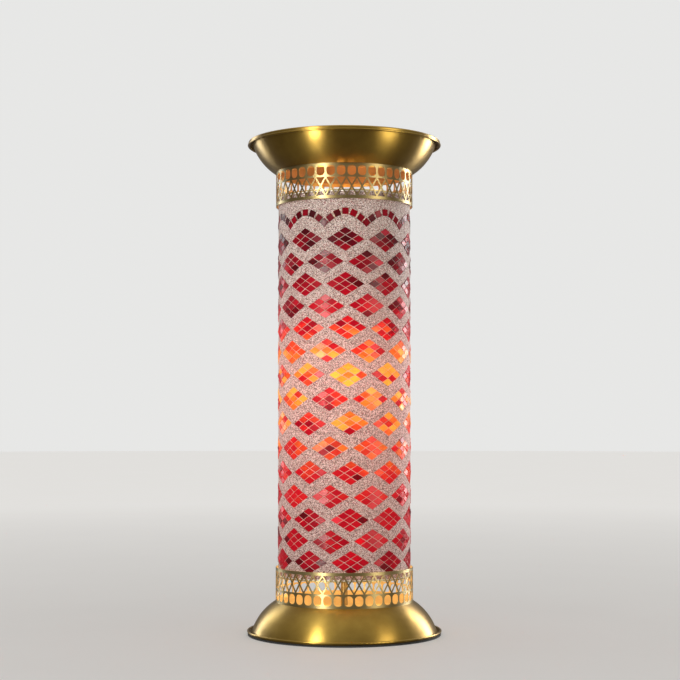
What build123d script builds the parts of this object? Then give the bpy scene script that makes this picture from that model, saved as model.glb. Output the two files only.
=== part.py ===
from build123d import *
import os
from math import asin, atan2, cos, degrees, hypot, pi, radians, sin

# Lit mosaic column: a glass tube between two pierced brass galleries, on a spun brass base,
# under the same spun dish turned over. Millimetres, +Z up, origin on the floor under the axis.
# The front of the column faces -Y.

# ---- overall ----
TOTAL_H = 711.0  # floor to the rim of the top dish
RIM_R = 140.0  # outside of both dishes
SHEET = 1.0  # spun brass sheet
PAD_H = 2.4  # ring pad under the base
PAD_OUTER_R = 139.0
PAD_INNER_R = 124.0
GAP = 0.1  # soldering gap between two brass pieces

# ---- spun dish, heights from its rim ----
DISH_H = 44.9  # rim to shoulder
NECK_H = 5.0  # neck that stands inside the gallery
SHOULDER_R = 100.4
DOME_EDGE_R = 132.6  # where the dome meets the gutter
DOME_EDGE_H = 3.0
DOME_BULGE = 4.6  # sagitta of the dome's arc
BASE_LIP_H = 3.1  # rim to the middle of the rolled edge
TOP_LIP_H = 5.2
ROLLED_EDGE_R = 1.5
GUTTER_BEND_R = 1.6

# ---- gallery, a pierced strip, heights from its dish edge ----
GALLERY_R = 98.9
GALLERY_SHEET = 0.9
GALLERY_H = 49.5
GALLERY_REPEATS = 42
DISH_BAND_H = 3.2
OVAL_W = 12.0
OVAL_H = 14.2
OVAL_CORNER_R = 5.3
RING_BAR_H = 2.3
GLASS_BAND_H = 4.4
STRUT_W = 2.1
LOWER_GALLERY_DEG = 3.5  # an oval's middle, from the front towards +X
UPPER_GALLERY_DEG = -2.5

# ---- glass tube and its mosaic ----
GLASS_R = 93.4
GLASS_WALL = 3.5
TUBE_ENTRY = 10.3  # how far the tube stands inside each gallery
TILE_THICK = 2.2
GROUT_THICK = 1.9
BEDDING = 0.02  # under each tile
GROUT_GAP = 0.1  # between a tile's side and the grout

DIAMOND_ROWS = 15
DIAMONDS_AROUND = 10
DIAMOND_W = 54.0
DIAMOND_H = 33.6
TOP_ROW_Z = 560.0
ROW_PITCH = 32.15
ROW_DRIFT = 5.0  # slow drift of the hand-laid rows from an even pitch
FIRST_DIAMOND_DEG = 1.0  # from the front, towards +X
UNEVEN_Z = 0.7  # unevenness of single diamonds
UNEVEN_DEG = 0.5
ROW_TURN_DEG = 0.4  # unevenness of whole rows
TWIST_DEG = 4.6  # slow turn of the upper rows, which ends at the twist's last row
TWIST_ROWS = 10
GROUT_SEAM_DEG = 84.0  # where the grout's wall closes, well inside the diamonds that it meets

BORDER_TILE = 9.4
BORDER_TILES_PER_ARCH = 6  # one of them in the valley
ARCH_PEAK_Z = 599.0
ARCH_VALLEY_Z = 583.5
VALLEY_TILE_DEG = 45.0
ARCH_CROWD = 0.03  # shifts tiles along the arch, so that they are evenly spaced on its slope

# ---- seats of the tube ----
SEAT_THICK = 1.2
SEAT_INNER_R = 88.6
GASKET_H = 1.5

# ---- plates that close the dishes ----
PLATE_THICK = 1.2
PLATE_FLANGE_H = 5.0
TOP_PLATE_DROP = 1.4  # below the rim
BASE_PLATE_RISE = 2.6  # above the rim

# ---- stem ----
STEM_R = 5.0
STEM_BORE_R = 3.5
STEM_LOW_Z = 2.8
NUT_ACROSS_FLATS = 14.0
NUT_H = 2.4
WASHER_R = 9.0
WASHER_H = 1.0

# ---- lamp holder ----
HOLDER_Z = 262.0  # underside of its cap
HOLDER_R = 16.6
HOLDER_WALL = 0.8
HOLDER_CAP_H = 18.0
HOLDER_TOP_Z = 321.0
HOLDER_BEAD_R = 0.9
HOLDER_ENTRY = 5.0  # how far the shell goes down into the cap
LINER_WALL = 0.7
CORE_R = 14.9
CORE_H = 11.0
CORE_Z = 282.0
SCREW_SHELL_R = 13.9
SCREW_SHELL_WALL = 0.5
CONTACT_LEAF_W = 7.0
CONTACT_LEAF_H = 2.6
TERMINAL_R = 1.9

# ---- bulb ----
BULB_Z = CORE_Z + CORE_H + CONTACT_LEAF_H  # its solder contact rests on the leaf
CAP_R = 13.0
CAP_WALL = 0.4
CAP_H = 22.0
INSULATOR_H = 2.6
BUTTON_R = 4.4
BUTTON_H = 1.6
GLOBE_R = 30.0
GLOBE_Z = 377.0
GLOBE_WALL = 0.8
FILAMENT_Z = 372.0

# ---- cord inlet ----
INLET_BORE_R = 3.6
INLET_BODY_R = 5.6
INLET_FLANGE_R = 8.0
INLET_FLANGE_H = 1.8
INLET_NUT_H = 3.0
INLET_INSIDE = 7.0
INLET_Z = 19.0

# ---- levels ----
SHOULDER_Z = PAD_H + DISH_H
LOWER_GALLERY_TOP_Z = SHOULDER_Z + GALLERY_H
TOP_SHOULDER_Z = TOTAL_H - DISH_H
UPPER_GALLERY_LOW_Z = TOP_SHOULDER_Z - GALLERY_H
TUBE_LOW_Z = LOWER_GALLERY_TOP_Z - TUBE_ENTRY
TUBE_TOP_Z = UPPER_GALLERY_LOW_Z + TUBE_ENTRY
TILE_R = GLASS_R + TILE_THICK
GROUT_R = GLASS_R + GROUT_THICK
PLATE_TOP_Z = PAD_H + BASE_PLATE_RISE + PLATE_THICK


def half_section(level, up=1):
    """Plane of a turned profile: x is the radius, y the height above the level (below if up is -1)."""
    return Plane(origin=(0, 0, level), x_dir=(1, 0, 0), z_dir=(0, -up, 0))


def wall_plane(angle, level, radius, up=1, tilt=0.0):
    """Plane touching a cylinder: x goes around it, y up (down if up is -1), z straight out.
    Tilt turns x and y in the plane."""
    out = Vector(cos(radians(angle)), sin(radians(angle)), 0)
    around = Vector(-out.Y, out.X, 0) * up
    x_dir = around * cos(radians(tilt)) + Vector(0, 0, up) * sin(radians(tilt))
    return Plane(origin=out * radius + Vector(0, 0, level), x_dir=x_dir, z_dir=out)


def from_front(turn):
    """Angle about +Z of a direction that is turned from the front (-Y) towards +X."""
    return turn - 90


def ring(outer_r, inner_r, level, height):
    """Plain flat ring standing on the level."""
    with BuildPart() as piece:
        with BuildSketch(Plane.XY.offset(level)):
            Circle(outer_r)
            Circle(inner_r, mode=Mode.SUBTRACT)
        extrude(amount=height)
    return piece


# ================= spun dishes =================


def spun_dish(rim_z, up, lip_h):
    """Bell-shaped dish with a neck, a gutter and a turned-up lip; its rim lies on rim_z."""
    mid = SHEET / 2
    neck_r = GALLERY_R - GALLERY_SHEET - GAP - mid
    lip_r = RIM_R - ROLLED_EDGE_R
    with BuildPart() as piece:
        with BuildSketch(half_section(rim_z, up)):
            with BuildLine() as sheet_line:
                FilletPolyline(
                    (neck_r, DISH_H + NECK_H),
                    (neck_r, DISH_H - mid),
                    (SHOULDER_R, DISH_H - mid),
                    radius=mid + GAP,
                )
                SagittaArc((SHOULDER_R, DISH_H - mid), (DOME_EDGE_R, DOME_EDGE_H), DOME_BULGE)
                FilletPolyline(
                    (DOME_EDGE_R, DOME_EDGE_H),
                    (DOME_EDGE_R + (DOME_EDGE_H - mid) / 2, mid),
                    (lip_r, mid),
                    (lip_r, lip_h),
                    radius=GUTTER_BEND_R,
                )
            trace(sheet_line.line, line_width=SHEET)
            with Locations((lip_r, lip_h)):
                Circle(ROLLED_EDGE_R)
        revolve(axis=Axis.Z)
    return piece


# Circle of the dome's arc, in radius and height above the rim.
dome_run = DOME_EDGE_R - SHOULDER_R
dome_drop = DISH_H - SHEET / 2 - DOME_EDGE_H
dome_chord = hypot(dome_run, dome_drop)
dome_arc_r = dome_chord**2 / (8 * DOME_BULGE) + DOME_BULGE / 2
dome_out = Vector(dome_drop, dome_run) / dome_chord
dome_chord_mid = Vector(SHOULDER_R + DOME_EDGE_R, DISH_H - SHEET / 2 + DOME_EDGE_H) / 2
dome_centre = dome_chord_mid - dome_out * (dome_arc_r - DOME_BULGE)


def dome_inside_r(height):
    """Radius of the dome's inner surface at a height above its rim."""
    return dome_centre.X + ((dome_arc_r - SHEET / 2) ** 2 - (height - dome_centre.Y) ** 2) ** 0.5


# The cord inlet stands square to the dome at the back of the base.
inlet_rise = asin((INLET_Z - PAD_H - dome_centre.Y) / dome_arc_r)
inlet_plane = Plane(
    origin=(0, dome_centre.X + dome_arc_r * cos(inlet_rise), INLET_Z),
    x_dir=(1, 0, 0),
    z_dir=(0, cos(inlet_rise), sin(inlet_rise)),
)

with BuildPart() as inlet_hole:
    with BuildSketch(inlet_plane.offset(-4)):
        Circle(INLET_BODY_R + GAP)
    extrude(amount=8)

with BuildPart() as base_shell:
    add(spun_dish(PAD_H, up=1, lip_h=BASE_LIP_H).part)
    add(inlet_hole.part, mode=Mode.SUBTRACT)

top_dish = spun_dish(TOTAL_H, up=-1, lip_h=TOP_LIP_H)

base_pad = ring(PAD_OUTER_R, PAD_INNER_R, 0, PAD_H)


# ================= galleries =================


def pierced_gallery(dish_edge_z, up, turn):
    """Sheet ring with ovals beside the dish and a diagonal lattice beside the glass."""
    pitch = 2 * pi * GALLERY_R / GALLERY_REPEATS
    lattice_low = DISH_BAND_H + OVAL_H + RING_BAR_H
    lattice_h = GALLERY_H - lattice_low - GLASS_BAND_H
    half_w = pitch / 2
    half_h = lattice_h / 2
    shrink = 1 - STRUT_W / 2 * hypot(half_w, half_h) / (half_w * half_h)
    open_w = half_w * shrink
    open_h = half_h * shrink
    node_h = lattice_low + half_h
    with BuildPart() as punch:
        with BuildSketch(wall_plane(from_front(turn), dish_edge_z, GALLERY_R + 1, up)):
            with Locations((0, DISH_BAND_H + OVAL_H / 2)):
                RectangleRounded(OVAL_W, OVAL_H, OVAL_CORNER_R)
            Polygon(
                (half_w - open_w, node_h),
                (half_w, node_h - open_h),
                (half_w + open_w, node_h),
                (half_w, node_h + open_h),
            )
            Polygon((-open_w, lattice_low), (open_w, lattice_low), (0, lattice_low + open_h))
            Polygon(
                (open_w, lattice_low + lattice_h),
                (-open_w, lattice_low + lattice_h),
                (0, lattice_low + lattice_h - open_h),
            )
        extrude(amount=-(GALLERY_SHEET + 4))
    with BuildPart() as piece:
        with BuildSketch(Plane.XY.offset(dish_edge_z)):
            Circle(GALLERY_R)
            Circle(GALLERY_R - GALLERY_SHEET, mode=Mode.SUBTRACT)
        extrude(amount=up * GALLERY_H)
        with PolarLocations(0, GALLERY_REPEATS):
            add(punch.part, mode=Mode.SUBTRACT)
    return piece


lower_gallery = pierced_gallery(SHOULDER_Z, up=1, turn=LOWER_GALLERY_DEG)
upper_gallery = pierced_gallery(TOP_SHOULDER_Z, up=-1, turn=UPPER_GALLERY_DEG)


# ================= glass tube, its seats and gaskets =================


SEAT_R = GALLERY_R - GALLERY_SHEET - GAP
lower_seat_ring = ring(SEAT_R, SEAT_INNER_R, TUBE_LOW_Z - GASKET_H - SEAT_THICK, SEAT_THICK)
upper_seat_ring = ring(SEAT_R, SEAT_INNER_R, TUBE_TOP_Z + GASKET_H, SEAT_THICK)
lower_gasket = ring(TILE_R, GLASS_R - GLASS_WALL, TUBE_LOW_Z - GASKET_H, GASKET_H)
upper_gasket = ring(TILE_R, GLASS_R - GLASS_WALL, TUBE_TOP_Z, GASKET_H)
glass_tube = ring(GLASS_R, GLASS_R - GLASS_WALL, TUBE_LOW_Z, TUBE_TOP_Z - TUBE_LOW_Z)


# ================= mosaic =================


def rhombus(width, height):
    """Upright rhombus about the sketch's origin."""
    Polygon((width / 2, 0), (0, height / 2), (-width / 2, 0), (0, -height / 2))


def border_tile_planes():
    """Planes of the square tiles that follow the scalloped border, one arch per diamond."""
    arch_deg = 360 / DIAMONDS_AROUND
    mm_per_deg = TILE_R * pi / 180
    rise = ARCH_PEAK_Z - ARCH_VALLEY_Z
    planes = []
    for arch in range(DIAMONDS_AROUND):
        for tile in range(BORDER_TILES_PER_ARCH):
            share = tile / BORDER_TILES_PER_ARCH
            share -= ARCH_CROWD * sin(2 * pi * share)
            turn = FIRST_DIAMOND_DEG + arch_deg * (arch - 0.5 + share)
            slope = rise * pi * cos(pi * share) / (arch_deg * mm_per_deg)
            tilt = degrees(atan2(slope, 1)) if tile else VALLEY_TILE_DEG
            level = ARCH_VALLEY_Z + rise * sin(pi * share)
            planes.append(wall_plane(from_front(turn), level, GLASS_R + BEDDING, tilt=tilt))
    return planes


def diamond_place(row, column):
    """Place of one diamond. The rows are staggered, and laid by hand, so a little uneven."""
    drift = ROW_DRIFT * sin(2 * pi * (row / (DIAMOND_ROWS - 1)) ** 1.3)
    level = TOP_ROW_Z - row * ROW_PITCH + drift + UNEVEN_Z * sin(5 * row + 3 * column)
    turn = (column + row % 2 / 2) * 360 / DIAMONDS_AROUND
    twist = TWIST_DEG / 2 * (1 - cos(pi * min(row / TWIST_ROWS, 1)))
    uneven_turn = UNEVEN_DEG * sin(3 * row + 7 * column) + ROW_TURN_DEG * sin(2 * row)
    return Location((0, 0, level), (0, 0, FIRST_DIAMOND_DEG + turn + twist + uneven_turn))


# One diamond, at the front of the tube at height 0. Each is a set of nine small tiles.
with BuildPart() as diamond:
    with BuildSketch(Plane.XY.offset(-DIAMOND_H)):
        Circle(TILE_R)
        Circle(GLASS_R + BEDDING, mode=Mode.SUBTRACT)
    extrude(amount=2 * DIAMOND_H)
    with BuildSketch(wall_plane(from_front(0), 0, GLASS_R - 10)):
        rhombus(DIAMOND_W, DIAMOND_H)
    extrude(amount=20, mode=Mode.INTERSECT)

with BuildPart() as diamond_cutter:
    with BuildSketch(wall_plane(from_front(0), 0, GLASS_R - 10)):
        rhombus(DIAMOND_W + 4 * GROUT_GAP, DIAMOND_H + 3 * GROUT_GAP)
    extrude(amount=20)

diamond_places = [
    diamond_place(row, column) for row in range(DIAMOND_ROWS) for column in range(DIAMONDS_AROUND)
]
border_planes = border_tile_planes()

with BuildPart() as diamond_tiles:
    with Locations(*diamond_places):
        add(diamond.part)

with BuildPart() as border_tiles:
    with BuildSketch(*border_planes):
        Rectangle(BORDER_TILE, BORDER_TILE)
    extrude(amount=TILE_THICK)

with BuildPart() as border_cutter:
    with BuildSketch(*[place.offset(-1) for place in border_planes]):
        Rectangle(BORDER_TILE + 2 * GROUT_GAP, BORDER_TILE + 2 * GROUT_GAP)
    extrude(amount=TILE_THICK + 2)

with BuildPart() as grout_layer:
    with BuildSketch(Plane.XY.offset(TUBE_LOW_Z).rotated((0, 0, from_front(GROUT_SEAM_DEG)))):
        Circle(GROUT_R)
        Circle(GLASS_R + BEDDING, mode=Mode.SUBTRACT)
    extrude(amount=TUBE_TOP_Z - TUBE_LOW_Z)
    add(border_cutter.part, mode=Mode.SUBTRACT)
    with Locations(*diamond_places):
        add(diamond_cutter.part, mode=Mode.SUBTRACT)


# ================= plates that close the dishes =================


def closing_plate(rim_z, up, drop):
    """Flat disc, with a flange that follows the inside of the dome."""
    edge_r = dome_inside_r(drop) - GAP
    flange_r = dome_inside_r(drop + PLATE_FLANGE_H) - GAP
    with BuildPart() as piece:
        with BuildSketch(half_section(rim_z, up)):
            Polygon(
                (0, drop),
                (edge_r, drop),
                (flange_r, drop + PLATE_FLANGE_H),
                (flange_r - PLATE_THICK, drop + PLATE_FLANGE_H),
                (edge_r - 2 * PLATE_THICK, drop + PLATE_THICK),
                (0, drop + PLATE_THICK),
            )
        revolve(axis=Axis.Z)
    return piece


top_plate = closing_plate(TOTAL_H, -1, TOP_PLATE_DROP)

# ================= fasteners of the base plate =================

TAB_R = 108.0  # circle of the four screws
TAB_COUNT = 4
TAB_W = 14.0
TAB_THICK = 1.5
TAB_STEP_R = 119.0
TAB_SHELF_Z = 12.0
SCREW_R = 2.0
SCREW_HEAD_R = 3.6
SCREW_HEAD_H = 1.8
SCREW_L = 8.0

with BuildPart() as base_plate:
    add(closing_plate(PAD_H, 1, BASE_PLATE_RISE).part)
    with BuildSketch(Plane.XY.offset(PAD_H)):
        Circle(STEM_R + GAP)
        with PolarLocations(TAB_R, TAB_COUNT, start_angle=45):
            Circle(SCREW_R + GAP)
    extrude(amount=PLATE_FLANGE_H, mode=Mode.SUBTRACT)

# Each stepped tab is soldered to the inside of the dome and takes one screw of the plate.
with BuildPart() as tab:
    with BuildSketch(Plane.XZ.offset(-TAB_W / 2)):
        Polygon(
            (TAB_R - 8, PLATE_TOP_Z),
            (TAB_STEP_R, PLATE_TOP_Z),
            (TAB_STEP_R, TAB_SHELF_Z),
            (dome_inside_r(TAB_SHELF_Z - PAD_H) - 3 * GAP, TAB_SHELF_Z),
            (dome_inside_r(TAB_SHELF_Z + TAB_THICK - PAD_H) - 3 * GAP, TAB_SHELF_Z + TAB_THICK),
            (TAB_STEP_R - TAB_THICK, TAB_SHELF_Z + TAB_THICK),
            (TAB_STEP_R - TAB_THICK, PLATE_TOP_Z + TAB_THICK),
            (TAB_R - 8, PLATE_TOP_Z + TAB_THICK),
        )
    extrude(amount=TAB_W)
    with Locations((TAB_R, 0, PLATE_TOP_Z + TAB_THICK)):
        Hole(SCREW_R)

with BuildPart() as base_tabs:
    with PolarLocations(0, TAB_COUNT, start_angle=45):
        add(tab.part)

with BuildPart() as base_plate_screws:
    with BuildSketch(Plane.XY.offset(PAD_H + BASE_PLATE_RISE)):
        with PolarLocations(TAB_R, TAB_COUNT, start_angle=45):
            Circle(SCREW_HEAD_R)
    extrude(amount=-SCREW_HEAD_H)
    with BuildSketch(Plane.XY.offset(PAD_H + BASE_PLATE_RISE)):
        with PolarLocations(TAB_R, TAB_COUNT, start_angle=45):
            Circle(SCREW_R)
    extrude(amount=SCREW_L)

# ================= stem =================

stem_pipe = ring(STEM_R, STEM_BORE_R, STEM_LOW_Z, HOLDER_Z + 9 - STEM_LOW_Z)

UPPER_WASHER_Z = PLATE_TOP_Z
LOWER_NUT_Z = PAD_H + BASE_PLATE_RISE - NUT_H
UPPER_NUT_Z = UPPER_WASHER_Z + WASHER_H
HOLDER_NUT_Z = HOLDER_Z - NUT_H

with BuildPart() as stem_nuts:
    for level in (LOWER_NUT_Z, UPPER_NUT_Z, HOLDER_NUT_Z):
        with BuildSketch(Plane.XY.offset(level)):
            RegularPolygon(NUT_ACROSS_FLATS / 2, 6, major_radius=False)
            Circle(STEM_R, mode=Mode.SUBTRACT)
        extrude(amount=NUT_H)

stem_washer = ring(WASHER_R, STEM_R + GAP, UPPER_WASHER_Z, WASHER_H)

# ================= lamp holder =================

CAP_MOUTH_R = HOLDER_R + HOLDER_WALL + 0.1
CAP_TOP_Z = HOLDER_Z + HOLDER_CAP_H

with BuildPart() as holder_cap:
    with BuildSketch(half_section(HOLDER_Z)):
        with BuildLine():
            Polyline((STEM_R, 0), (STEM_R + 4, 0))
            Spline(
                (STEM_R + 4, 0),
                (CAP_MOUTH_R, HOLDER_CAP_H * 0.6),
                tangents=((1, 0.4), (0, 1)),
            )
            Polyline(
                (CAP_MOUTH_R, HOLDER_CAP_H * 0.6),
                (CAP_MOUTH_R, HOLDER_CAP_H),
                (CAP_MOUTH_R - HOLDER_WALL, HOLDER_CAP_H),
                (CAP_MOUTH_R - HOLDER_WALL, HOLDER_CAP_H * 0.6),
            )
            Spline(
                (CAP_MOUTH_R - HOLDER_WALL, HOLDER_CAP_H * 0.6),
                (STEM_R + 2.4, 1.4),
                tangents=((0, -1), (-1, -0.4)),
            )
            Polyline((STEM_R + 2.4, 1.4), (STEM_R + 2.4, 8), (STEM_R, 8), (STEM_R, 0))
        make_face()
    revolve(axis=Axis.Z)

with BuildPart() as holder_shell:
    with BuildSketch(half_section(0)):
        with Locations((HOLDER_R - HOLDER_WALL / 2, (CAP_TOP_Z - HOLDER_ENTRY + HOLDER_TOP_Z) / 2)):
            Rectangle(HOLDER_WALL, HOLDER_TOP_Z - CAP_TOP_Z + HOLDER_ENTRY)
        with Locations((HOLDER_R + GAP, HOLDER_TOP_Z), (HOLDER_R + GAP, CAP_TOP_Z + 4)):
            Circle(HOLDER_BEAD_R)
    revolve(axis=Axis.Z)

LINER_R = HOLDER_R - HOLDER_WALL - GAP
holder_liner = ring(LINER_R, LINER_R - LINER_WALL, CORE_Z - 4, HOLDER_TOP_Z - CORE_Z + 1)

with BuildPart() as holder_core:
    with BuildSketch(Plane.XY.offset(CORE_Z)):
        Circle(CORE_R)
        with Locations((CORE_R - 1.2, 0), (1.2 - CORE_R, 0)):
            Rectangle(7, 7, mode=Mode.SUBTRACT)
    extrude(amount=CORE_H)
    fillet(edges().filter_by(GeomType.CIRCLE), 0.6)

with BuildPart() as holder_terminals:
    with BuildSketch(Plane.YZ.offset(CORE_R - 4.7)):
        with Locations((0, CORE_Z + CORE_H / 2)):
            Circle(TERMINAL_R)
    extrude(amount=3)
    mirror(about=Plane.YZ)

with BuildPart() as holder_screw_shell:
    with BuildSketch(Plane.XY.offset(CORE_Z + CORE_H)):
        Circle(SCREW_SHELL_R)
        Circle(SCREW_SHELL_R - SCREW_SHELL_WALL, mode=Mode.SUBTRACT)
    extrude(amount=HOLDER_TOP_Z - CORE_Z - CORE_H - 2)

with BuildPart() as holder_contact:
    with BuildSketch(Plane.XZ.offset(-CONTACT_LEAF_W / 2)):
        Polygon(
            (-6, CORE_Z + CORE_H),
            (3, CORE_Z + CORE_H),
            (3, CORE_Z + CORE_H + 0.6),
            (-4, CORE_Z + CORE_H + 0.6),
            (1, BULB_Z - 0.6),
            (5, BULB_Z - 0.6),
            (5, BULB_Z),
            (0.6, BULB_Z),
        )
    extrude(amount=CONTACT_LEAF_W)

# ================= bulb =================

CAP_LOW_Z = BULB_Z + BUTTON_H + INSULATOR_H
CAP_HIGH_Z = CAP_LOW_Z + CAP_H
THROAT_R = CAP_R - CAP_WALL - GAP


def globe_outline(wall):
    """Half profile of the envelope: a ball that narrows smoothly into the cap's throat."""
    ball_r = GLOBE_R - wall
    throat_r = THROAT_R - wall
    join = 28.0
    join_r = ball_r * cos(radians(join))
    join_z = GLOBE_Z - ball_r * sin(radians(join))
    low_z = CAP_HIGH_Z - 6 + wall
    with BuildLine() as outline:
        Line((0, low_z), (throat_r, low_z))
        Line((throat_r, low_z), (throat_r, CAP_HIGH_Z + 1))
        Spline(
            (throat_r, CAP_HIGH_Z + 1),
            (join_r, join_z),
            tangents=((0, 1), (sin(radians(join)), cos(radians(join)))),
        )
        ThreePointArc(
            (join_r, join_z),
            (ball_r * cos(radians(30)), GLOBE_Z + ball_r * sin(radians(30))),
            (0, GLOBE_Z + ball_r),
        )
        Line((0, GLOBE_Z + ball_r), (0, low_z))
    return outline


with BuildPart() as bulb_globe:
    with BuildSketch(half_section(0)):
        add(make_face(globe_outline(0.0).edges(), mode=Mode.PRIVATE))
        add(make_face(globe_outline(GLOBE_WALL).edges(), mode=Mode.PRIVATE), mode=Mode.SUBTRACT)
    revolve(axis=Axis.Z)

with BuildPart() as bulb_cap:
    with BuildSketch(half_section(CAP_LOW_Z)):
        Polygon(
            (6, 0),
            (CAP_R - 2, 0),
            (CAP_R, 2.5),
            (CAP_R, CAP_H),
            (CAP_R - CAP_WALL, CAP_H),
            (CAP_R - CAP_WALL, 2.5 + CAP_WALL / 2),
            (CAP_R - 2 - CAP_WALL / 2, CAP_WALL),
            (6, CAP_WALL),
        )
    revolve(axis=Axis.Z)

with BuildPart() as bulb_insulator:
    with BuildSketch(half_section(CAP_LOW_Z)):
        Polygon((0, 0), (CAP_R - 3, 0), (BUTTON_R + 1.2, -INSULATOR_H), (0, -INSULATOR_H))
    revolve(axis=Axis.Z)

with BuildPart() as bulb_contact:
    with BuildSketch(Plane.XY.offset(BULB_Z)):
        Circle(BUTTON_R)
    extrude(amount=BUTTON_H)
    fillet(bulb_contact.faces().sort_by(Axis.Z)[0].edges(), 0.8)

# Glass mount inside the globe: a flare that narrows to the rod between the lead wires.
MOUNT_LOW_Z = CAP_HIGH_Z - 5
MOUNT_TOP_Z = FILAMENT_Z - 14
with BuildPart() as bulb_mount:
    with BuildSketch(half_section(0)):
        with BuildLine():
            Line((0, MOUNT_LOW_Z), (8, MOUNT_LOW_Z))
            Spline((8, MOUNT_LOW_Z), (3, MOUNT_TOP_Z - 12), tangents=((-0.6, 1), (0, 1)))
            Line((3, MOUNT_TOP_Z - 12), (2.2, MOUNT_TOP_Z))
            Line((2.2, MOUNT_TOP_Z), (0, MOUNT_TOP_Z))
            Line((0, MOUNT_TOP_Z), (0, MOUNT_LOW_Z))
        make_face()
    revolve(axis=Axis.Z)

# Two lead wires rise from the mount and hold the filament across the axis.
WIRE_R = 0.4
WIRE_SPREAD = 1.2
FILAMENT_R = 0.7
FILAMENT_HALF = 12.0
with BuildPart() as bulb_filament:
    with BuildLine():
        FilletPolyline(
            (-WIRE_SPREAD, 0, MOUNT_TOP_Z),
            (-WIRE_SPREAD, 0, MOUNT_TOP_Z + 3),
            (-FILAMENT_HALF, 0, MOUNT_TOP_Z + 10),
            (-FILAMENT_HALF, 0, FILAMENT_Z),
            radius=1.5,
        )
    with BuildSketch(Plane(origin=(-WIRE_SPREAD, 0, MOUNT_TOP_Z), z_dir=(0, 0, 1))):
        Circle(WIRE_R)
    sweep()
    mirror(about=Plane.YZ)
    with BuildSketch(Plane.YZ.offset(-FILAMENT_HALF)):
        with Locations((0, FILAMENT_Z)):
            Circle(FILAMENT_R)
    extrude(amount=2 * FILAMENT_HALF)

# ================= cord inlet =================

with BuildPart() as cord_inlet:
    with BuildSketch(inlet_plane.offset(SHEET)):
        Circle(INLET_FLANGE_R)
    extrude(amount=INLET_FLANGE_H)
    fillet(edges().filter_by(GeomType.CIRCLE).sort_by(Axis.Y)[-1], 0.8)
    with BuildSketch(inlet_plane.offset(-INLET_INSIDE)):
        Circle(INLET_BODY_R)
    extrude(amount=INLET_INSIDE + SHEET)
    with BuildSketch(inlet_plane.offset(-INLET_INSIDE)):
        Circle(INLET_BORE_R)
    extrude(amount=INLET_INSIDE + SHEET + INLET_FLANGE_H, mode=Mode.SUBTRACT)

with BuildPart() as cord_inlet_nut:
    with BuildSketch(inlet_plane.offset(-SHEET - INLET_NUT_H)):
        RegularPolygon(INLET_BODY_R + 2.4, 6, major_radius=False)
        Circle(INLET_BODY_R, mode=Mode.SUBTRACT)
    extrude(amount=INLET_NUT_H)

# ================= write the pieces =================

pieces = {
    "base_pad": base_pad,
    "base_shell": base_shell,
    "base_plate": base_plate,
    "base_tabs": base_tabs,
    "base_plate_screws": base_plate_screws,
    "cord_inlet": cord_inlet,
    "cord_inlet_nut": cord_inlet_nut,
    "lower_gallery": lower_gallery,
    "lower_seat_ring": lower_seat_ring,
    "lower_gasket": lower_gasket,
    "glass_tube": glass_tube,
    "grout_layer": grout_layer,
    "diamond_tiles": diamond_tiles,
    "border_tiles": border_tiles,
    "stem_pipe": stem_pipe,
    "stem_nuts": stem_nuts,
    "stem_washer": stem_washer,
    "holder_cap": holder_cap,
    "holder_shell": holder_shell,
    "holder_liner": holder_liner,
    "holder_core": holder_core,
    "holder_terminals": holder_terminals,
    "holder_screw_shell": holder_screw_shell,
    "holder_contact": holder_contact,
    "bulb_contact": bulb_contact,
    "bulb_insulator": bulb_insulator,
    "bulb_cap": bulb_cap,
    "bulb_globe": bulb_globe,
    "bulb_mount": bulb_mount,
    "bulb_filament": bulb_filament,
    "upper_gasket": upper_gasket,
    "upper_seat_ring": upper_seat_ring,
    "upper_gallery": upper_gallery,
    "top_dish": top_dish,
    "top_plate": top_plate,
}

os.makedirs("parts", exist_ok=True)
for name, piece in pieces.items():
    piece.part.label = name
    export_step(piece.part, f"parts/{name}.step")
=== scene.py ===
import math
import random

import bmesh
import bpy
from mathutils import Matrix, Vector


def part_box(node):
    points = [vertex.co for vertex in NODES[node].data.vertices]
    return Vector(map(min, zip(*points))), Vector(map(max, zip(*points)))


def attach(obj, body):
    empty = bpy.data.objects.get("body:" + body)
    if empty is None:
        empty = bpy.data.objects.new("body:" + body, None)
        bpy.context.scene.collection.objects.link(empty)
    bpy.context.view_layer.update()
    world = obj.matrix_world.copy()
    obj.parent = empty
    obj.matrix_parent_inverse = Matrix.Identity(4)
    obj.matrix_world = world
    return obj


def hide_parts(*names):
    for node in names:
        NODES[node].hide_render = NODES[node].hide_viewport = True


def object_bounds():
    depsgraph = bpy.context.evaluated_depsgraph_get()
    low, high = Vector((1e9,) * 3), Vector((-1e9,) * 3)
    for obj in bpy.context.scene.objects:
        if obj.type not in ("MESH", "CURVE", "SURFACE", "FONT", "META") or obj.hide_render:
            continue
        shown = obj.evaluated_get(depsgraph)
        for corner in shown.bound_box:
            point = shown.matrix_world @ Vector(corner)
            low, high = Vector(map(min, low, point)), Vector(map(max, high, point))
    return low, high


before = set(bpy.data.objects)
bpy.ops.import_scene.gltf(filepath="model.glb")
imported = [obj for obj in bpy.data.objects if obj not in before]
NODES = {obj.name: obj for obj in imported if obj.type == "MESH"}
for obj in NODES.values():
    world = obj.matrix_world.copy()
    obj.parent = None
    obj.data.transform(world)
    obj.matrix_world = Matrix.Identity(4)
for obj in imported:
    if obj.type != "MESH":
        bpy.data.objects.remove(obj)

CAD_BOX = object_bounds()
SCENE = bpy.context.scene
MM = 0.001
rng = random.Random(7)

GLOBE_LOW, GLOBE_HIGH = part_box("bulb_globe")
GLOBE_R = GLOBE_HIGH.x
BULB = Vector((0, 0, GLOBE_HIGH.z - GLOBE_R))
GLASS_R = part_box("glass_tube")[1].x
TILE_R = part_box("diamond_tiles")[1].x
GROUT_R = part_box("grout_layer")[1].x


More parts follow.
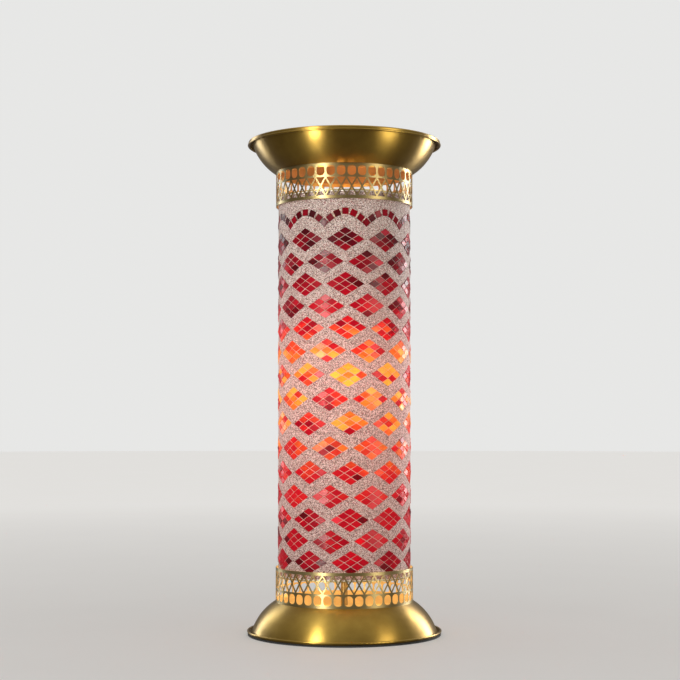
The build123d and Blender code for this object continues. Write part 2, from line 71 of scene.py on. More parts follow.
# ================= node helper =================


class Net:
    """Builds one material's node tree, line by line."""

    def __init__(self, name):
        self.mat = bpy.data.materials.new(name)
        self.mat.use_nodes = True
        self.tree = self.mat.node_tree
        self.tree.nodes.clear()
        self.out = self.add("ShaderNodeOutputMaterial")
        self.place = self.add("ShaderNodeTexCoord").outputs["Object"]

    def add(self, kind, inputs=None, **settings):
        node = self.tree.nodes.new(kind)
        for key, value in settings.items():
            setattr(node, key, value)
        for socket, value in (inputs or {}).items():
            self.feed(node.inputs[socket], value)
        return node

    def feed(self, socket, value):
        if isinstance(value, bpy.types.NodeSocket):
            self.tree.links.new(value, socket)
        else:
            socket.default_value = value

    def math(self, operation, a, b=0.0, clamp=False):
        node = self.add("ShaderNodeMath", {0: a, 1: b}, operation=operation, use_clamp=clamp)
        return node.outputs[0]

    def mix(self, share, a, b, blend="MIX"):
        node = self.add("ShaderNodeMix", data_type="RGBA", blend_type=blend)
        self.feed(node.inputs["Factor"], share)
        self.feed(node.inputs[6], a)
        self.feed(node.inputs[7], b)
        return node.outputs[2]

    def stretch(self, factors, offset=(0, 0, 0)):
        """Object coordinates, scaled along each axis."""
        node = self.add("ShaderNodeMapping", {"Vector": self.place, "Scale": factors, "Location": offset})
        return node.outputs[0]

    def noise(self, scale, detail=3.0, roughness=0.5, vector=None, distortion=0.0):
        node = self.add(
            "ShaderNodeTexNoise",
            {
                "Vector": vector or self.place,
                "Scale": scale,
                "Detail": detail,
                "Roughness": roughness,
                "Distortion": distortion,
            },
        )
        return node.outputs["Fac"]

    def cells(self, scale):
        """Voronoi node of about scale cells a metre."""
        return self.add("ShaderNodeTexVoronoi", {"Vector": self.place, "Scale": scale})

    def ramp(self, share, stops, constant=False):
        """Colour ramp; stops are (position, colour) or (position, number)."""
        node = self.add("ShaderNodeValToRGB", {"Fac": share})
        if constant:
            node.color_ramp.interpolation = "CONSTANT"
        elements = node.color_ramp.elements
        while len(elements) < len(stops):
            elements.new(1.0)
        for element, (position, colour) in zip(elements, stops):
            element.position = position
            if isinstance(colour, (int, float)):
                colour = (colour, colour, colour)
            element.color = (*colour, 1.0)
        return node.outputs["Color"]

    def bump(self, height, distance):
        inputs = {"Height": height, "Distance": distance, "Strength": 1.0}
        return self.add("ShaderNodeBump", inputs).outputs[0]

    def finish(self, inputs, second=None, share=0.5):
        """Principled shader with these inputs, perhaps mixed with a second shader."""
        shader = self.add("ShaderNodeBsdfPrincipled", inputs).outputs[0]
        if second:
            mixer = self.add("ShaderNodeMixShader", {0: share, 1: shader, 2: second})
            shader = mixer.outputs[0]
        self.feed(self.out.inputs["Surface"], shader)
        return self.mat


# ================= materials =================

GLOW_DOWN = 0.38  # share of the height that counts below the bulb
GLOW_POWER = 3.0  # how fast the glow falls with the distance from the bulb
GUTTER_R = 0.134  # the dishes' sheet inside this radius encloses the lit space
NECK_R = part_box("upper_gallery")[1].x - 0.7 * MM  # the dishes' necks lie within, behind the galleries
TOP_PLATE_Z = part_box("top_plate")[0].z


def glow(net, gain):
    """Strength of the painted glow that stands in for the bulb lighting the wall from behind, from 1
    beside it down to 0.
    The bright base sends light up again, so that the painted glow fades more slowly below the bulb."""
    x, y, z = net.add("ShaderNodeSeparateXYZ", {0: net.place}).outputs
    rise = net.math("SUBTRACT", z, BULB.z)
    rise = net.math("MAXIMUM", rise, net.math("MULTIPLY", rise, -GLOW_DOWN))
    away = net.add("ShaderNodeCombineXYZ", {0: x, 1: y, 2: rise}).outputs[0]
    distance = net.add("ShaderNodeVectorMath", {0: away}, operation="LENGTH").outputs["Value"]
    near = net.math("DIVIDE", TILE_R, distance)
    return net.math("MULTIPLY", net.math("POWER", near, GLOW_POWER), gain)


def painted_inner_glow(net):
    """Painted glow of the bulb's warm light on the sheet's inner side and on the necks: peach in the base,
    browner in the top.
    """
    flat = net.add("ShaderNodeVectorMath", {0: net.place, 1: (1, 1, 0)}, operation="MULTIPLY").outputs[0]
    out = net.add("ShaderNodeVectorMath", {0: flat}, operation="NORMALIZE").outputs[0]
    normal = net.add("ShaderNodeNewGeometry").outputs["Normal"]
    facing = net.add("ShaderNodeVectorMath", {0: normal, 1: out}, operation="DOT_PRODUCT").outputs["Value"]
    inside = net.math("MULTIPLY", facing, -3.0, clamp=True)
    radius = net.add("ShaderNodeVectorMath", {0: flat}, operation="LENGTH").outputs["Value"]
    inside = net.math("MULTIPLY", inside, net.math("LESS_THAN", radius, GUTTER_R))
    level = net.add("ShaderNodeSeparateXYZ", {0: net.place}).outputs[2]
    # The necks get painted glow all over, behind the galleries' ovals, so that these look open onto the
    # lit inside.
    neck = net.math("LESS_THAN", radius, NECK_R)
    neck = net.math("MULTIPLY", neck, net.math("LESS_THAN", level, TOP_PLATE_Z))
    inside = net.math("MAXIMUM", inside, neck)
    glow_patches = net.noise(28.0, 3.0, 0.6)
    colour = net.ramp(level, [(0.3, (0.80, 0.40, 0.10)), (0.5, (0.28, 0.098, 0.030))])
    strength = net.math("MULTIPLY", inside, net.math("ADD", glow_patches, 0.45))
    return colour, strength


def satin_brass(name, light, dark, roughness=0.3, ring_depth=0.02):
    """Antique brass turned on a lathe: fine rings, brown patina in clouds, small scratches, and painted
    glow on its inner side.
    """
    net = Net(name)
    painted_glow_colour, painted_glow_strength = painted_inner_glow(net)
    clouds = net.noise(9.0, 4.0, 0.6)
    patina = net.ramp(clouds, [(0.35, 0.0), (0.7, 1.0)])
    fine = net.noise(260.0, 2.0, 0.6)
    colour = net.mix(patina, (*light, 1), (*dark, 1))
    colour = net.mix(net.math("MULTIPLY", fine, 0.18), colour, (*[0.6 * c for c in dark], 1))
    rings = net.noise(1.0, 4.0, 0.7, net.stretch((3.0, 3.0, 2600.0)))
    scratches = net.noise(1.0, 2.0, 0.6, net.stretch((90.0, 90.0, 900.0), (0.3, 0.1, 0)))
    rough = net.math("MULTIPLY_ADD", rings, 0.10)
    net.feed(rough.node.inputs[2], roughness - 0.05)
    rough = net.math("ADD", rough, net.math("MULTIPLY", clouds, 0.08))
    relief = net.math("ADD", rings, net.math("MULTIPLY", scratches, 0.5))
    return net.finish(
        {
            "Base Color": colour,
            "Metallic": 1.0,
            "Roughness": rough,
            "Anisotropic": 0.8,
            "Anisotropic Rotation": 0.25,
            "Tangent": net.add("ShaderNodeTangent", direction_type="RADIAL", axis="Z").outputs[0],
            "Normal": net.bump(relief, ring_depth * MM),
            "Emission Color": painted_glow_colour,
            "Emission Strength": painted_glow_strength,
        }
    )


def plain_metal(name, colour, roughness):
    """Small metal parts: slight stain and a fine rolled grain."""
    net = Net(name)
    stain_and_glow_tint = net.noise(60.0, 4.0, 0.6)
    grain = net.noise(1.0, 3.0, 0.6, net.stretch((400.0, 400.0, 2500.0)))
    tone = net.mix(stain_and_glow_tint, (*colour, 1), (*[0.62 * c for c in colour], 1))
    rough = net.math("ADD", net.math("MULTIPLY", stain_and_glow_tint, 0.15), roughness - 0.07)
    return net.finish(
        {
            "Base Color": tone,
            "Metallic": 1.0,
            "Roughness": rough,
            "Normal": net.bump(grain, 0.02 * MM),
        }
    )


def moulded(name, colour, roughness, grain_mm=0.05, scale=900.0):
    """Matt moulded or felted stuff with a fine grain."""
    net = Net(name)
    grain = net.noise(scale, 3.0, 0.6)
    dust = net.noise(30.0, 4.0, 0.6)
    tone = net.mix(net.math("MULTIPLY", dust, 0.5), (*colour, 1), (*[min(1, 1.7 * c) for c in colour], 1))
    rough = net.math("ADD", net.math("MULTIPLY", grain, 0.16), roughness - 0.08)
    return net.finish(
        {"Base Color": tone, "Roughness": rough, "Normal": net.bump(grain, grain_mm * MM)}
    )


def speckled_grout():
    """Cream grout with crushed brown and red granules, with a painted pink glow near the bulb for the
    light from behind.
    """
    net = Net("speckled_grout")
    grains = net.cells(1050.0)
    pick = net.add("ShaderNodeSeparateColor", {0: grains.outputs["Color"]}).outputs["Red"]
    colour = net.ramp(
        pick,
        [
            (0.0, (0.035, 0.016, 0.014)),
            (0.13, (0.10, 0.05, 0.042)),
            (0.23, (0.22, 0.06, 0.06)),
            (0.31, (0.22, 0.165, 0.14)),
            (0.50, (0.31, 0.255, 0.23)),
            (0.74, (0.46, 0.40, 0.37)),
        ],
        constant=True,
    )
    cloud = net.noise(40.0, 3.0, 0.6)
    colour = net.mix(net.math("MULTIPLY", cloud, 0.25), colour, (0.28, 0.21, 0.19, 1))
    light = net.mix(1.0, colour, (1.0, 0.30, 0.25, 1), "MULTIPLY")
    height = net.math("SUBTRACT", 1.0, grains.outputs["Distance"])
    height = net.math("ADD", height, net.math("MULTIPLY", pick, 0.4))
    return net.finish(
        {
            "Base Color": colour,
            "Roughness": 0.72,
            "Emission Color": light,
            "Emission Strength": glow(net, 0.95),
            "Normal": net.bump(height, 0.3 * MM),
        }
    )


def grout_lines():
    """Smooth cream grout between the small tiles, with a painted warm glow near the bulb."""
    net = Net("fine_grout")
    mottle = net.noise(220.0, 4.0, 0.65)
    colour = net.mix(mottle, (0.44, 0.37, 0.345, 1), (0.30, 0.22, 0.20, 1))
    light = net.mix(1.0, colour, (1.0, 0.40, 0.24, 1), "MULTIPLY")
    return net.finish(
        {
            "Base Color": colour,
            "Roughness": 0.7,
            "Emission Color": light,
            "Emission Strength": glow(net, 0.9),
            "Normal": net.bump(mottle, 0.2 * MM),
        }
    )


def ruby_glass():
    """Small ruby glass tiles: each has its own tint, and shows more or less of the bulb's light through
    it, mostly as painted glow.
    """
    net = Net("ruby_glass")
    tint = net.add("ShaderNodeAttribute", attribute_name="tint").outputs["Fac"]
    gain = net.add("ShaderNodeAttribute", attribute_name="gain").outputs["Fac"]
    streak = net.noise(1.0, 3.0, 0.6, net.stretch((70.0, 70.0, 160.0)), 1.5)
    wave = net.noise(160.0, 2.0, 0.5)
    colour = net.ramp(
        tint,
        [
            (0.0, (0.018, 0.0008, 0.003)),
            (0.18, (0.085, 0.002, 0.008)),
            (0.30, (0.12, 0.001, 0.008)),
            (0.85, (0.26, 0.002, 0.011)),
            (1.0, (0.58, 0.05, 0.08)),
        ],
    )
    colour = net.mix(net.math("MULTIPLY", streak, 0.3), colour, (0.10, 0.0, 0.006, 1))
    lit = net.math("MULTIPLY", glow(net, 0.52), gain)
    lit = net.math("MULTIPLY", lit, net.math("ADD", net.math("MULTIPLY", streak, 0.4), 0.8))
    # Painted glow: the redder the less light comes through; the brightest tiles turn orange, then yellow.
    light = net.ramp(
        lit,
        [
            (0.0, (0.0, 0.0, 0.0)),
            (0.05, (0.03, 0.001, 0.001)),
            (0.12, (0.16, 0.001, 0.005)),
            (0.20, (0.31, 0.002, 0.008)),
            (0.33, (0.50, 0.010, 0.012)),
            (0.42, (0.60, 0.08, 0.016)),
            (0.52, (0.68, 0.25, 0.025)),
            (0.70, (0.80, 0.52, 0.07)),
        ],
    )
    # Straight through the glass the bulb itself is seen, blurred, with a painted tint: orange where the
    # painted glow is strong.
    stain_and_glow_tint = net.ramp(lit, [(0.22, (0.55, 0.015, 0.02)), (0.5, (1.0, 0.42, 0.12))])
    through = net.add(
        "ShaderNodeBsdfRefraction", {"Color": stain_and_glow_tint, "Roughness": 0.24, "IOR": 1.45}
    ).outputs[0]
    return net.finish(
        {
            "Base Color": colour,
            "Roughness": 0.3,
            "IOR": 1.5,
            "Specular IOR Level": 0.06,
            "Transmission Weight": 0.2,
            "Coat Weight": 0.14,
            "Coat Roughness": 0.03,
            "Emission Color": light,
            "Emission Strength": 1.15,
            "Normal": net.bump(wave, 0.12 * MM),
            "Coat Normal": net.bump(wave, 0.08 * MM),
        },
        through,
        0.35,
    )


def clear_tube():
    """Clear glass wall, seen only at the tube's ends: mostly see-through, with a gloss."""
    net = Net("clear_tube")
    haze = net.noise(35.0, 3.0, 0.6)
    through = net.add("ShaderNodeBsdfTransparent", {"Color": (0.96, 0.97, 0.95, 1)}).outputs[0]
    return net.finish(
        {
            "Base Color": (0.9, 0.92, 0.9, 1),
            "Roughness": net.math("MULTIPLY_ADD", haze, 0.08),
            "IOR": 1.5,
        },
        through,
        0.85,
    )


def lit_globe():
    """Frosted bulb, glowing, a little brighter towards its filament."""
    net = Net("lit_globe")
    frost = net.noise(500.0, 3.0, 0.6)
    distance = net.add(
        "ShaderNodeVectorMath", {0: net.place, 1: tuple(BULB)}, operation="DISTANCE"
    ).outputs["Value"]
    strength = net.ramp(net.math("DIVIDE", distance, 3 * GLOBE_R), [(0.3, 1.0), (0.8, 0.12)])
    return net.finish(
        {
            "Base Color": (0.95, 0.92, 0.86, 1),
            "Roughness": 0.4,
            "Emission Color": (1.0, 0.66, 0.32, 1),
            "Emission Strength": net.math("MULTIPLY", strength, 20.0),
            "Normal": net.bump(frost, 0.03 * MM),
        }
    )


def hot_wire():
    net = Net("hot_wire")
    coil = net.noise(1.0, 2.0, 0.5, net.stretch((4000.0, 50.0, 50.0)))
    return net.finish(
        {
            "Base Color": (0.3, 0.28, 0.25, 1),
            "Metallic": 1.0,
            "Roughness": 0.4,
            "Emission Color": (1.0, 0.6, 0.25, 1),
            "Emission Strength": net.math("ADD", net.math("MULTIPLY", coil, 10.0), 15.0),
        }
    )


# ================= mosaic =================

TILES_PER_SIDE = 3
GROUT_LINE = 0.75 * MM  # between small tiles
RIM_GAP = 0.12 * MM  # between a diamond's outer sides and its bed
BED_MARGIN = 0.18 * MM  # by which the bed reaches past the diamond's outline
TILE_PROUD = 0.25 * MM  # how far the tallest tiles stand over the nominal face
TILE_TILT = 0.03  # radians
CORNER_JITTER = 0.28 * MM
LINE_SINK = 0.55 * MM  # grout lines lie under the tile faces
WORN_EDGE = 0.42 * MM
TILE_FOOT = 0.12 * MM  # tiles start this far over the glass
LINE_FOOT = 0.1 * MM  # and so do the grout lines
WELD = 0.01 * MM


def islands(node):
    """The separate solids of a CAD node, each as a list of corner points."""
    work = bmesh.new()
    work.from_mesh(NODES[node].data)
    bmesh.ops.remove_doubles(work, verts=work.verts, dist=WELD)
    seen = set()
    found = []
    for start in work.verts:
        if start in seen:
            continue
        seen.add(start)
        group, stack = [], [start]
        while stack:
            vert = stack.pop()
            group.append(vert.co.copy())
            for edge in vert.link_edges:
                other = edge.other_vert(vert)
                if other not in seen:
                    seen.add(other)
                    stack.append(other)
        found.append(group)
    work.free()
    return found


def centre_of(points):
    """Angle about the axis and height of the middle of a solid that lies on the tube."""
    heights = [p.z for p in points]
    side = sum((Vector((p.x, p.y)).normalized() for p in points), Vector((0, 0)))
    return math.atan2(side.y, side.x), (min(heights) + max(heights)) / 2


def on_tube(angle, height, across, up, radius):
    """Point on a cylinder, across and up from a centre, as laid out on a flat pattern."""
    turn = angle + math.asin(across / TILE_R)
    return Vector((radius * math.cos(turn), radius * math.sin(turn), height + up))


def shrunk(corners, *gaps):
    """Convex outline with each side moved in by its gap, or by the only one. Side k starts at corner k."""
    count = len(corners)
    sides = []
    for k in range(count):
        a, b = corners[k], corners[(k + 1) % count]
        along = (b - a).normalized()
        inward = Vector((-along.y, along.x))
        sides.append((a + inward * gaps[k % len(gaps)], along))
    result = []
    for k in range(count):
        (p, u), (q, v) = sides[k - 1], sides[k]
        cross = u.x * v.y - u.y * v.x
        step = ((q - p).x * v.y - (q - p).y * v.x) / cross
        result.append(p + u * step)
    return result


def add_tile(mesh, layers, angle, height, outline, tint, gain):
    """One small glass tile: a flat slip with worn edges, tilted a little on the tube."""
    middle = sum(outline, Vector((0, 0))) / len(outline)
    turn = angle + math.asin(middle.x / TILE_R)
    out = Vector((math.cos(turn), math.sin(turn), 0))
    around = Vector((-out.y, out.x, 0))
    top = TILE_R + TILE_PROUD * rng.uniform(-0.6, 1.0)
    lean_x, lean_y = rng.gauss(0, TILE_TILT), rng.gauss(0, TILE_TILT)
    origin = Vector((0, 0, height + middle.y))

    def corner(point, radius, lean=1.0):
        x, y = point.x - middle.x, point.y - middle.y
        level = radius + lean * (lean_x * x + lean_y * y)
        return origin + out * level + around * x + Vector((0, 0, y))

    bevel = 0.3 * WORN_EDGE
    rings = [
        [corner(p, GLASS_R + TILE_FOOT, 0.0) for p in outline],
        [corner(p, top - WORN_EDGE) for p in outline],
        [corner(p, top - bevel) for p in shrunk(outline, bevel)],
        [corner(p, top) for p in shrunk(outline, WORN_EDGE)],
    ]
    loops = [[mesh.verts.new(p) for p in ring] for ring in rings]
    count = len(outline)
    for low, high in zip(loops, loops[1:]):
        for k in range(count):
            mesh.faces.new((low[k], low[(k + 1) % count], high[(k + 1) % count], high[k]))
    mesh.faces.new(loops[-1])
    mesh.faces.new(list(reversed(loops[0])))
    for loop in loops:
        for vert in loop:
            vert[layers[0]] = tint
            vert[layers[1]] = gain


HOT_ZONE = 0.9  # half the height of the painted orange glow around the bulb, in tube radii
RED_SHARE = 0.16  # of the tiles in the orange zone
DARK_ABOVE, DARK_BELOW = 0.26, 0.10  # shares of nearly black tiles over and under that zone, as painted shade
PINK_FROM = 0.98
PLAIN_SHARE = 0.86  # of the diamonds; the rest are of thicker, darker glass


def tile_look(height):
    """(tint, gain) of one tile: the tint runs from near black (0) over ruby to pink (1),
    and the gain is its share of the bulb's painted glow. Near the bulb both are raised as painted light,
    and nearly black tiles stand over and under it as painted shade."""
    kind = rng.random()
    rise = (height - BULB.z) / TILE_R
    if abs(rise) < HOT_ZONE:
        if kind < RED_SHARE:
            return rng.uniform(0.3, 0.6), rng.uniform(0.45, 0.7)
        return rng.uniform(0.4, 0.9), rng.uniform(0.75, 1.4)
    if kind < (DARK_ABOVE if rise > 0 else DARK_BELOW):
        return rng.uniform(0.0, 0.22), rng.uniform(0.3, 0.6)
    if kind < PINK_FROM:
        return rng.uniform(0.3, 0.85), rng.uniform(0.78, 1.15)
    return rng.uniform(0.85, 1.0), rng.uniform(0.9, 1.2)


def start_mesh():
    mesh = bmesh.new()
    layers = (mesh.verts.layers.float.new("tint"), mesh.verts.layers.float.new("gain"))
    return mesh, layers


def make_object(name, mesh, material, body):
    bmesh.ops.recalc_face_normals(mesh, faces=mesh.faces)
    data = bpy.data.meshes.new(name)
    mesh.to_mesh(data)
    mesh.free()
    piece = bpy.data.objects.new(name, data)
    SCENE.collection.objects.link(piece)
    data.materials.append(material)
    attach(piece, body)
    return piece


def lay_diamonds():
    """Nine small tiles on every diamond of the frame, and the thin grout lines between them."""
    tiles, layers = start_mesh()
    lines = bmesh.new()
    count = TILES_PER_SIDE
    for points in islands("diamond_tiles"):
        angle, height = centre_of(points)
        half_h = (max(p.z for p in points) - min(p.z for p in points)) / 2
        side = Vector((-math.sin(angle), math.cos(angle)))
        half_w = max(abs(p.x * side.x + p.y * side.y) for p in points)
        whole = [Vector((-half_w, 0)), Vector((0, -half_h)), Vector((half_w, 0)), Vector((0, half_h))]
        bed = shrunk(whole, -BED_MARGIN)
        left, low, right, high = whole
        plain = rng.random() < PLAIN_SHARE
        thinness = rng.uniform(0.85, 1.15) if plain else rng.uniform(0.5, 0.65)
        grid = {}
        for i in range(count + 1):
            for j in range(count + 1):
                spot = left + (low - left) * (i / count) + (high - left) * (j / count)
                inner = 0 < i < count and 0 < j < count
                reach = CORNER_JITTER * (1.5 if inner else 0.6)
                grid[i, j] = spot + Vector((rng.uniform(-reach, reach), rng.uniform(-reach, reach)))
        verts = {}

        def line_vert(point, key):
            if key not in verts:
                verts[key] = lines.verts.new(
                    on_tube(angle, height, point.x, point.y, TILE_R - LINE_SINK)
                )
            return verts[key]

        for i in range(count):
            for j in range(count):
                keys = [(i, j), (i + 1, j), (i + 1, j + 1), (i, j + 1)]
                cell = [grid[key] for key in keys]
                gaps = [
                    RIM_GAP if j == 0 else GROUT_LINE / 2,
                    RIM_GAP if i == count - 1 else GROUT_LINE / 2,
                    RIM_GAP if j == count - 1 else GROUT_LINE / 2,
                    RIM_GAP if i == 0 else GROUT_LINE / 2,
                ]
                outline = shrunk(cell, *gaps)
                tint, gain = tile_look(height)
                add_tile(tiles, layers, angle, height, outline, tint, gain * thinness)
                hole = [line_vert(p, (i, j, k)) for k, p in enumerate(outline)]
                outer = [line_vert(grid[key], key) for key in keys]
                for k in range(4):
                    lines.faces.new((outer[k], outer[(k + 1) % 4], hole[(k + 1) % 4], hole[k]))
        # The bed's edge, outside the tiles.
        edge_keys = (
            [(i, 0) for i in range(count)]
            + [(count, j) for j in range(count)]
            + [(i, count) for i in range(count, 0, -1)]
            + [(0, j) for j in range(count, 0, -1)]
        )
        steps = len(edge_keys)
        for k in range(steps):
            corner, following = bed[k // count], bed[(k // count + 1) % 4]
            line_vert(corner + (following - corner) * (k % count) / count, ("edge", k))
        for k, key in enumerate(edge_keys):
            after = (k + 1) % steps
            lines.faces.new(
                (verts["edge", k], verts["edge", after], verts[edge_keys[after]], verts[key])
            )
    glass = ruby_glass()
    piece = make_object("mosaic_diamonds", tiles, glass, "base")
    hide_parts("diamond_tiles")
    seams = make_object("mosaic_grout_lines", lines, grout_lines(), "base")
    solid = seams.modifiers.new("depth", "SOLIDIFY")
    solid.thickness = TILE_R - LINE_SINK - GLASS_R - LINE_FOOT
    solid.offset = -1.0
    return glass


def lay_border(glass):
    """Square tiles of the scalloped border, on the frame's own places."""
    tiles, layers = start_mesh()
    for points in islands("border_tiles"):
        angle, height = centre_of(points)
        out = Vector((math.cos(angle), math.sin(angle), 0))
        around = Vector((-out.y, out.x, 0))
        inner = sorted(points, key=lambda p: p.dot(out))[:4]
        middle = sum(inner, Vector()) / 4
        flat = [Vector(((p - middle).dot(around), p.z - middle.z)) for p in inner]
        flat.sort(key=lambda p: math.atan2(p.y, p.x))
        outline = [p * rng.uniform(0.92, 1.0) for p in flat]
        tint, gain = tile_look(height)
        add_tile(tiles, layers, angle, middle.z, outline, 0.8 * tint, gain)
    piece = make_object("mosaic_border", tiles, glass, "base")
    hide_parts("border_tiles")


# ================= finishes of the frame's own nodes =================


def dress(material, *nodes):
    for node in nodes:
        slots = NODES[node].data.materials
        slots.clear()
        slots.append(material)


BRASS_LIGHT = (0.42, 0.275, 0.058)
BRASS_DARK = (0.22, 0.128, 0.024)

dress(satin_brass("spun_brass", BRASS_LIGHT, BRASS_DARK, 0.31), "base_shell", "top_dish", "top_plate")
dress(
    satin_brass("gallery_brass", (0.48, 0.385, 0.18), (0.28, 0.21, 0.085), 0.41, 0.012),
    "lower_gallery",
    "upper_gallery",
)
dress(
    plain_metal("inner_brass", (0.60, 0.44, 0.17), 0.38),
    "base_plate",
    "base_tabs",
    "lower_seat_ring",
    "upper_seat_ring",
    "stem_pipe",
    "stem_nuts",
)
dress(
    plain_metal("holder_brass", (0.66, 0.49, 0.20), 0.3),
    "holder_cap",
    "holder_shell",
    "holder_terminals",
    "holder_contact",
)
dress(plain_metal("zinc_steel", (0.62, 0.62, 0.60), 0.35), "base_plate_screws", "stem_washer")
dress(plain_metal("bare_aluminium", (0.74, 0.74, 0.75), 0.3), "holder_screw_shell", "bulb_cap")
dress(plain_metal("solder", (0.62, 0.62, 0.63), 0.5), "bulb_contact")
dress(moulded("black_pad", (0.012, 0.012, 0.012), 0.85, 0.15, 700.0), "base_pad")
dress(moulded("inlet_plastic", (0.02, 0.02, 0.02), 0.5), "cord_inlet", "cord_inlet_nut")
dress(moulded("milky_silicone", (0.55, 0.54, 0.50), 0.45), "lower_gasket", "upper_gasket")
dress(moulded("liner_card", (0.32, 0.22, 0.13), 0.8, 0.08, 500.0), "holder_liner")
dress(moulded("porcelain", (0.52, 0.50, 0.46), 0.2, 0.02), "holder_core")
dress(moulded("black_insulator", (0.015, 0.015, 0.018), 0.2, 0.02), "bulb_insulator")
dress(speckled_grout(), "grout_layer")
dress(clear_tube(), "glass_tube", "bulb_mount")
dress(lit_globe(), "bulb_globe")
dress(hot_wire(), "bulb_filament")
NODES["bulb_globe"].visible_shadow = False

lay_border(lay_diamonds())


# ================= stage =================


FLOOR_R = 14.0
FAR = 5.0  # distance at which the floor has taken the backdrop's tone
BACKDROP = (0.80, 0.80, 0.79, 1)


def make_floor():
    mesh = bmesh.new()
    bmesh.ops.create_circle(mesh, cap_ends=True, segments=96, radius=FLOOR_R)
    data = bpy.data.meshes.new("floor")
    mesh.to_mesh(data)
    mesh.free()
    net = Net("pale_floor")
    mottle = net.noise(3.0, 4.0, 0.6)
    tone = net.mix(mottle, (0.62, 0.60, 0.57, 1), (0.58, 0.56, 0.53, 1))
    far = net.add("ShaderNodeVectorMath", {0: net.place}, operation="LENGTH").outputs["Value"]
    # Painted brightness: the floor glows more with the distance, until it takes the backdrop's tone.
    painted_floor_glow = net.ramp(net.math("DIVIDE", far, FAR), [(0.1, 0.22), (0.7, 0.47)])
    data.materials.append(
        net.finish(
            {
                "Base Color": tone,
                "Roughness": 0.6,
                "Emission Color": BACKDROP,
                "Emission Strength": painted_floor_glow,
            }
        )
    )
    floor = bpy.data.objects.new("floor", data)
    floor.location.z = CAD_BOX[0][2]
    floor.visible_glossy = False
    SCENE.collection.objects.link(floor)
    return floor


def spare_floor(floor, *lamps):
    """The tall front lights reach down to the floor, and would leave hard bright patches on it."""
    spared = bpy.data.collections.new("spared")
    spared.objects.link(floor)
    spared.collection_objects[0].light_linking.link_state = "EXCLUDE"
    for lamp in lamps:
        lamp.light_linking.receiver_collection = spared


WARM_WHITE = (1.0, 0.97, 0.91)
CREAM = (1.0, 0.93, 0.82)
SKY = (0.94, 0.98, 1.0)
LAMP_MIDDLE_Z = 0.38
TOP_DISH_Z = 0.66
NARROW_BEAM = 44


def area_light(
    name, turn, distance, height, size, power, colour=(1, 1, 1), aim_z=LAMP_MIDDLE_Z, spread=180
):
    """Soft box, turned from the front (towards +X) and aimed at a height on the lamp's axis.
    The turn and the spread of its beam are in degrees."""
    data = bpy.data.lights.new(name, "AREA")
    data.shape = "RECTANGLE"
    data.size, data.size_y = size
    data.energy = power
    data.color = colour
    data.spread = math.radians(spread)
    lamp = bpy.data.objects.new(name, data)
    angle = math.radians(turn)
    lamp.location = (distance * math.sin(angle), -distance * math.cos(angle), height)
    aim = Vector((0, 0, aim_z)) - lamp.location
    lamp.rotation_euler = aim.to_track_quat("-Z", "Y").to_euler()
    lamp.visible_camera = False
    SCENE.collection.objects.link(lamp)
    return lamp


def make_world():
    """Pale surroundings; reflections see them darker near the floor than overhead."""
    world = bpy.data.worlds.new("studio")
    SCENE.world = world
    world.use_nodes = True
    tree = world.node_tree
    tree.nodes.clear()
    links = tree.links
    out = tree.nodes.new("ShaderNodeOutputWorld")
    pick = tree.nodes.new("ShaderNodeMixShader")
    seen = tree.nodes.new("ShaderNodeBackground")
    seen.inputs[0].default_value = BACKDROP
    around = tree.nodes.new("ShaderNodeBackground")
    around.inputs[1].default_value = 1.0
    coordinate = tree.nodes.new("ShaderNodeTexCoord")
    split = tree.nodes.new("ShaderNodeSeparateXYZ")
    ramp = tree.nodes.new("ShaderNodeValToRGB")
    ramp.color_ramp.elements[0].position = 0.15
    ramp.color_ramp.elements[0].color = (0.18, 0.165, 0.15, 1)
    ramp.color_ramp.elements[1].position = 0.85
    ramp.color_ramp.elements[1].color = (0.8, 0.8, 0.8, 1)
    path = tree.nodes.new("ShaderNodeLightPath")
    links.new(coordinate.outputs["Generated"], split.inputs[0])
    links.new(split.outputs["Z"], ramp.inputs[0])
    links.new(ramp.outputs[0], around.inputs[0])
    links.new(path.outputs["Is Camera Ray"], pick.inputs[0])
    links.new(around.outputs[0], pick.inputs[1])
    links.new(seen.outputs[0], pick.inputs[2])
    links.new(pick.outputs[0], out.inputs[0])


UPPER_END_Z = 0.64
LOWER_END_Z = 0.13
END_GLOW_R = 0.03


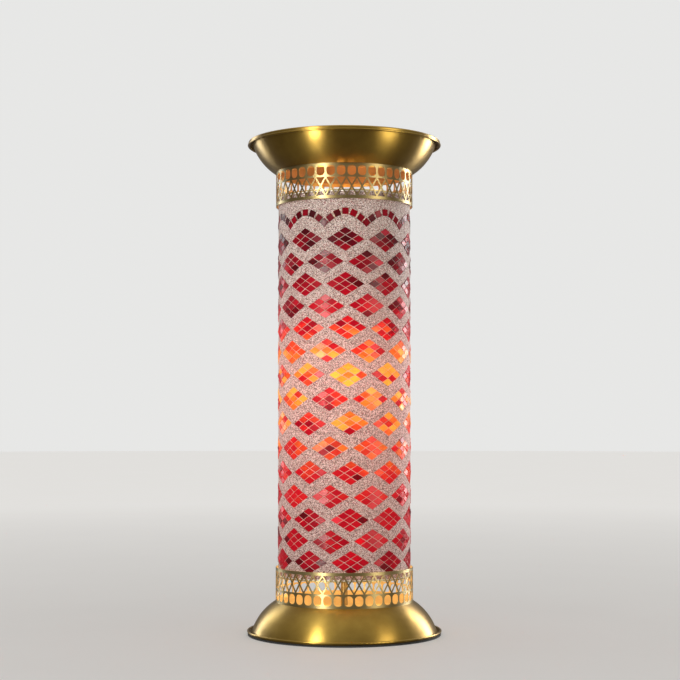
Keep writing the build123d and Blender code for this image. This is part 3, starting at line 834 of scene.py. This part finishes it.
def warm_light(name, level, power, radius):
    """The bulb's light, or what the tube's inside sends on to one of its ends."""
    data = bpy.data.lights.new(name, "POINT")
    data.energy = power
    data.color = (1.0, 0.58, 0.26)
    data.shadow_soft_size = radius
    lamp = bpy.data.objects.new(name, data)
    lamp.location = (0, 0, level)
    SCENE.collection.objects.link(lamp)


CAMERA_DISTANCE = 2.25
CAMERA_HEIGHT = 0.306
LENS = 82.27
SHIFT_Y = 0.06
HORIZON_DROP = 0.1199  # horizon below the picture's middle, as a share of its width
AXIS_OFFSET = 0.0063  # lamp's axis right of the middle, as a share of the width


def make_camera():
    data = bpy.data.cameras.new("camera")
    data.lens = LENS
    data.sensor_width = 36.0
    data.shift_y = SHIFT_Y
    camera = bpy.data.objects.new("camera", data)
    camera.location = (0, -CAMERA_DISTANCE, CAMERA_HEIGHT)
    pitch = math.atan((HORIZON_DROP - SHIFT_Y) * data.sensor_width / LENS)
    yaw = math.atan(AXIS_OFFSET * data.sensor_width / LENS)
    camera.rotation_euler = (math.pi / 2 + pitch, 0, yaw)
    SCENE.collection.objects.link(camera)
    SCENE.camera = camera


floor = make_floor()
make_world()
warm_light("bulb_light", BULB.z, 6.0, 0.7 * GLOBE_R)
warm_light("glow_above", UPPER_END_Z, 0.12, END_GLOW_R)
warm_light("glow_below", LOWER_END_Z, 0.2, END_GLOW_R)
strip_left = area_light("strip_left", -36, 2.0, 0.6, (0.22, 1.7), 40, WARM_WHITE)
broad_right = area_light("broad_right", 54, 2.4, 0.5, (0.8, 1.4), 26, CREAM)
window_right = area_light("window_right", 128, 2.0, 0.7, (0.55, 1.3), 36)
window_left = area_light("window_left", -134, 2.2, 0.8, (0.5, 1.6), 14, SKY)
spare_floor(floor, strip_left, broad_right, window_right, window_left)
area_light("overhead", 0, 0.3, 2.6, (2.6, 2.6), 6)
# These two stand low for the underside of the top dish, and their narrow beams miss the floor.
area_light("low_left", -38, 1.3, 0.12, (0.25, 0.2), 0.45, WARM_WHITE, TOP_DISH_Z, NARROW_BEAM)
area_light("low_right", 60, 1.3, 0.12, (0.5, 0.2), 0.16, CREAM, TOP_DISH_Z, NARROW_BEAM)
make_camera()

SCENE.view_settings.view_transform = "Standard"
